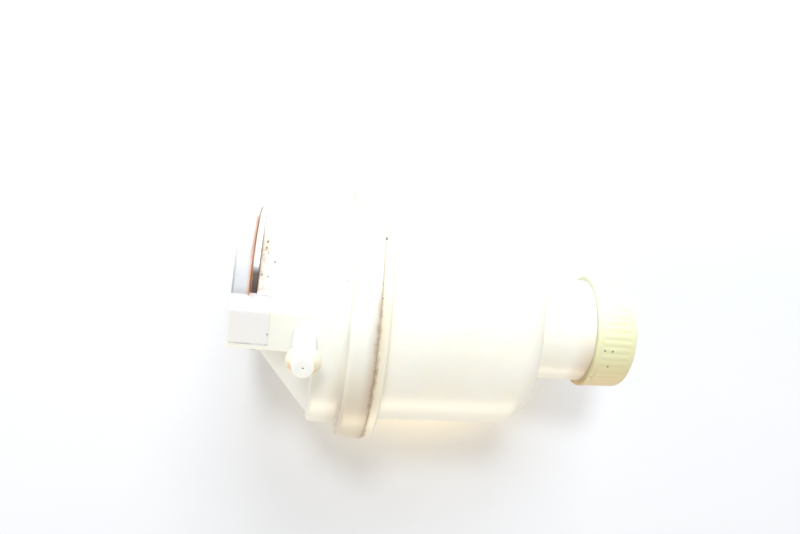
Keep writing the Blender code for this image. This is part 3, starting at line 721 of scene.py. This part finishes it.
def collar_plastic():
    """Whiter than the cover; the lip beside the clip has painted shade, dark grey at its foot and lighter
    towards its top, and the shoulder's top face a painted bluish highlight.
    """
    light, shade = rgb(0.765, 0.745, 0.725), rgb(0.74, 0.72, 0.70)
    finish = plastic("collar_white_plastic", light, shade, 0.34, depth_mm=0.25)
    above_block = finish.ramp(finish.y, SHOULDER_TOP_Y - 1.0, SHOULDER_TOP_Y)
    # Painted shade: the lip is dark grey at its foot and turns lighter towards its top.
    lip_foot_painted_shade, lip_middle_painted_shade = rgb(0.34, 0.335, 0.345), rgb(0.56, 0.555, 0.55)
    lip_painted_shade = finish.mix(finish.ramp(finish.y, 14.0, 22.5), lip_foot_painted_shade, lip_middle_painted_shade)
    lip_painted_shade = finish.mix(finish.ramp(finish.y, 21.5, 26.0), lip_painted_shade, rgb(0.80, 0.80, 0.80))
    # Painted highlight: a pale bluish band on the shoulder's top face, at the foot of the lip.
    ledge_painted_highlight = finish.ramp(finish.y, SHOULDER_TOP_Y + 0.6, SHOULDER_TOP_Y)
    lip_painted_shade = finish.mix(ledge_painted_highlight, lip_painted_shade, rgb(0.80, 0.80, 0.83))
    finish.colour = finish.mix(above_block, finish.colour, lip_painted_shade)
    slot_edge = finish.times(finish.ramp(finish.x, 2.9, LIP_X - 0.1), finish.ramp(finish.y, 12.8, 14.0),
                             finish.ramp(finish.z, 1.0, 6.0))
    patchy = finish.ramp(finish.noise(260.0, 4.0), 0.2, 0.6, 0.6, 1.0)
    finish.stain(RUST, finish.times(slot_edge, slot_edge, patchy), 0.85)
    foot = finish.times(finish.ramp(finish.y, STRIP_TOP_Y + 0.7, STRIP_TOP_Y),
                        finish.ramp(finish.noise(350.0), 0.3, 0.6, 0.3, 1.0))
    finish.stain(BROWN, foot, 0.4)
    finish.stain(BROWN, finish.fleck(BLOCK_X - 0.3, 5.5, 0.25), 0.6)
    return done(finish)


def cap_plastic():
    finish = plastic("cap_yellowed_plastic", rgb(0.78, 0.79, 0.64), rgb(0.75, 0.75, 0.57), 0.42)
    radius_squared = finish.math("ADD", finish.times(finish.y, finish.y), finish.times(finish.z, finish.z))
    radius = finish.math("SQRT", radius_squared)
    # Painted shade: darker yellow-brown in the rib valleys.
    ribbed = finish.times(finish.ramp(finish.x, 101.5, 102.5), finish.ramp(finish.x, 111.5, 111.0))
    finish.stain(rgb(0.58, 0.48, 0.24), finish.times(finish.ramp(radius, 16.15, 15.85), ribbed), 0.15)
    # Painted shade: the cap turns yellower, then browner, towards its underside.
    finish.stain(rgb(0.68, 0.66, 0.36), finish.ramp(finish.y, 14.0, 2.0), 0.6)
    finish.stain(rgb(0.58, 0.38, 0.17), finish.ramp(finish.y, 3.0, -14.0), 0.6)
    edge = finish.times(finish.ramp(finish.x, 102.0, 101.0), finish.ramp(finish.y, 4.0, -8.0),
                        finish.ramp(finish.noise(220.0, 3.0), 0.35, 0.65))
    finish.stain(rgb(0.48, 0.34, 0.14), edge, 0.3)
    speckle(finish, finish.ramp(finish.y, 4.0, -4.0), 300.0, 0.13)
    for x, y, radius in ((103.2, 1.9, 0.28), (105.5, 1.8, 0.3), (105.3, -3.2, 0.28), (101.6, -7.5, 0.22)):
        finish.stain(SOOT, finish.fleck(x, y, radius), 0.75)
    return done(finish)


def nozzle_plastic():
    light, shade = rgb(0.82, 0.815, 0.80), rgb(0.80, 0.79, 0.76)
    finish = plastic("nozzle_white_plastic", light, shade, 0.34, depth_mm=0.3)
    barb = finish.times(finish.ramp(finish.z, 41.2, 42.2), finish.ramp(finish.z, 45.7, 45.2))
    finish.stain(rgb(0.80, 0.72, 0.44), barb, 0.5)
    sides = finish.times(barb, finish.band(finish.y, NOZZLE_Y, 0.6, 1.4))
    dirty = finish.ramp(finish.noise(330.0, 3.0), 0.38, 0.6)
    finish.stain(rgb(0.72, 0.42, 0.14), finish.times(sides, dirty), 0.6)
    return done(finish)


def clip_steel():
    """Spring steel: bright where it is rubbed, rusty along its edge and black low in the slot."""
    finish = Finish("clip_rusty_steel")
    finish.height = finish.noise(900.0, 4.0, 0.7)
    dirt = finish.ramp(finish.math("ADD", finish.y, finish.noise(300.0)), 21.5, 18.2)
    rust = finish.times(finish.ramp(finish.x, CLIP_LOW.x + 0.35, CLIP_LOW.x + 0.05),
                        finish.ramp(finish.noise(300.0, 4.0, 0.7), 0.3, 0.5, 0.5, 1.0))
    worn = finish.math("MAXIMUM", dirt, rust)
    finish.colour = finish.mix(finish.noise(500.0), rgb(0.92, 0.92, 0.92), rgb(0.86, 0.86, 0.87))
    finish.stain(finish.mix(finish.noise(400.0), SOOT, rgb(0.14, 0.10, 0.09)), dirt)
    finish.stain(rgb(0.62, 0.34, 0.18), rust, 0.85)
    finish.set("Metallic", finish.ramp(worn, 0.1, 0.8, 0.6, 0.1))
    finish.set("Roughness", finish.ramp(worn, 0.0, 1.0, 0.3, 0.75))
    return done(finish, 0.3, 0.04)


def rubber():
    finish = Finish("seal_rubber", Roughness=0.62)
    finish.height = finish.noise(1200.0, 2.0)
    cloud = finish.ramp(finish.noise(200.0), 0.3, 0.7)
    finish.colour = finish.mix(cloud, rgb(0.018, 0.018, 0.018), rgb(0.035, 0.034, 0.032))
    return done(finish, 0.2, 0.03)


def steel():
    finish = Finish("bright_steel", Metallic=1.0, Roughness=0.3)
    finish.height = finish.noise(700.0, 2.0, stretch=(1, 12, 12))
    finish.colour = finish.mix(finish.noise(300.0), rgb(0.62, 0.62, 0.60), rgb(0.50, 0.49, 0.46))
    return done(finish, 0.15, 0.02)


def brass():
    finish = Finish("turned_brass", Metallic=1.0, Roughness=0.28)
    finish.height = finish.noise(500.0, 2.0, stretch=(1, 1, 15))
    finish.colour = finish.mix(finish.noise(250.0), rgb(0.72, 0.56, 0.28), rgb(0.52, 0.36, 0.16))
    return done(finish, 0.15, 0.02)


# ---------------------------------------------------------------- the object

def place_pieces():
    pieces = [
        (make_cover(), "housing", "cover", "natural_plastic", cover_plastic()),
        (make_collar(), "housing", "mount_collar", "white_plastic", collar_plastic()),
        (make_chamber(), "housing", "chamber_body", "natural_body", chamber_plastic()),
        (make_nozzle(), "housing", "hose_nozzle", "white_plastic", nozzle_plastic()),
        (make_clip(), "clip", "retaining_clip", "spring_steel", clip_steel()),
        (make_cap(), "cap", "screw_cap", "yellowed_plastic", cap_plastic()),
    ]
    black = rubber()
    pieces += [
        (make_ring(name, node, axis, ring_r, wire_r), "housing", node, "rubber", black)
        for name, node, axis, ring_r, wire_r in (
            ("socket_seal", "socket_oring", "X", 9.9, 1.05),
            ("nozzle_seal", "nozzle_oring", "Z", 2.82, 0.42),
            ("seat_seal", "seat_oring", "Z", 3.3, 0.4))
    ]
    for piece, body, node, slot, finish in pieces:
        piece.data.materials.append(finish)
        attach(piece, body)
        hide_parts(node)
    bright = steel()
    float_finish = done(plastic("float_plastic", rgb(0.70, 0.67, 0.58), rgb(0.66, 0.62, 0.51), 0.45, 0.4))
    kept = {
        bright: ("needle_stem", "hinge_bracket", "bracket_screw_1", "bracket_screw_2", "hinge_pin",
                 "pin_clip", "float_screw"),
        float_finish: ("float_arm", "float_shell", "float_lid", "inlet_strainer"),
        brass(): ("valve_seat",),
        black: ("seam_gasket", "cap_gasket", "needle_tip"),
    }
    for finish, nodes in kept.items():
        for node in nodes:
            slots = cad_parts[node].data.materials
            slots.clear()
            slots.append(finish)


# ---------------------------------------------------------------- floor, light, camera

def make_floor():
    shape = bmesh.new()
    bmesh.ops.create_grid(shape, x_segments=1, y_segments=1, size=2500)
    bmesh.ops.translate(shape, verts=shape.verts, vec=(0, 0, FLOOR_Z - 0.05))
    floor = finish_mesh("floor", shape)
    finish = Finish("pale_floor", Roughness=0.8)
    finish.height = finish.noise(400.0, 3.0)
    finish.colour = finish.mix(finish.noise(30.0), rgb(0.84, 0.85, 0.888), rgb(0.82, 0.83, 0.868))
    floor.data.materials.append(done(finish, 0.1, 0.1))


def area_light(name, aim, direction, distance, size, watts, colour):
    """A soft lamp of (width, height) metres, seen only by the light it gives."""
    light = bpy.data.lights.new(name, "AREA")
    light.shape = "ELLIPSE"
    light.size, light.size_y = size
    light.energy = watts
    light.color = colour
    lamp = bpy.data.objects.new(name, light)
    lamp.location = Vector(aim) + Vector(direction).normalized() * distance
    lamp.rotation_euler = (-Vector(direction)).to_track_quat("-Z", "Y").to_euler()
    lamp.visible_camera = False
    bpy.context.scene.collection.objects.link(lamp)


def make_light():
    middle = (0.05, 0, 0)
    area_light("key", middle, (-0.14, 0.7, 0.75), 1.0, (0.15, 0.15), 4.2, (0.90, 0.96, 1.0))
    area_light("window", middle, (0.04, 0.85, 0.42), 1.2, (0.6, 0.6), 10.2, (0.90, 0.95, 1.0))
    area_light("low_fill", middle, (0.1, -0.95, 0.07), 1.5, (1.4, 0.25), 10.5, (1.0, 0.90, 0.72))
    area_light("left_fill", middle, (-1.0, -0.1, 0.3), 1.3, (0.9, 0.5), 3.2, (1.0, 0.97, 0.92))
    # A small lamp by the floor stands for the light that comes through the translucent chamber.
    below = (0.062, -0.042, -0.032)
    area_light("chamber_glow", below, (0, 0.3, 0.95), 0.014, (0.055, 0.022), 0.009, (1.0, 0.74, 0.25))
    world = bpy.data.worlds.new("studio")
    world.use_nodes = True
    back = world.node_tree.nodes["Background"]
    back.inputs["Color"].default_value = rgb(1.0, 0.975, 0.93)
    back.inputs["Strength"].default_value = 0.6
    scene = bpy.context.scene
    scene.world = world
    scene.view_settings.view_transform = "Standard"


def make_camera():
    """Looks down on the floor from the drum's side, with the valve's axis across the picture."""
    camera = bpy.data.cameras.new("camera")
    camera.lens = 35.93
    camera.sensor_width = 36.0
    camera.clip_start = 0.01
    eye = bpy.data.objects.new("camera", camera)
    right = Vector((0.9885, 0.1298, 0.0773))
    up = Vector((-0.0908, 0.9192, -0.3833))
    back = Vector((-0.1208, 0.3719, 0.9204))
    turn = Matrix((right, up, back)).transposed().to_4x4()
    eye.matrix_world = Matrix.Translation((0.0171, 0.0994, 0.2088)) @ turn
    bpy.context.scene.collection.objects.link(eye)
    bpy.context.scene.camera = eye


make_camera()
place_pieces()
make_floor()
make_light()
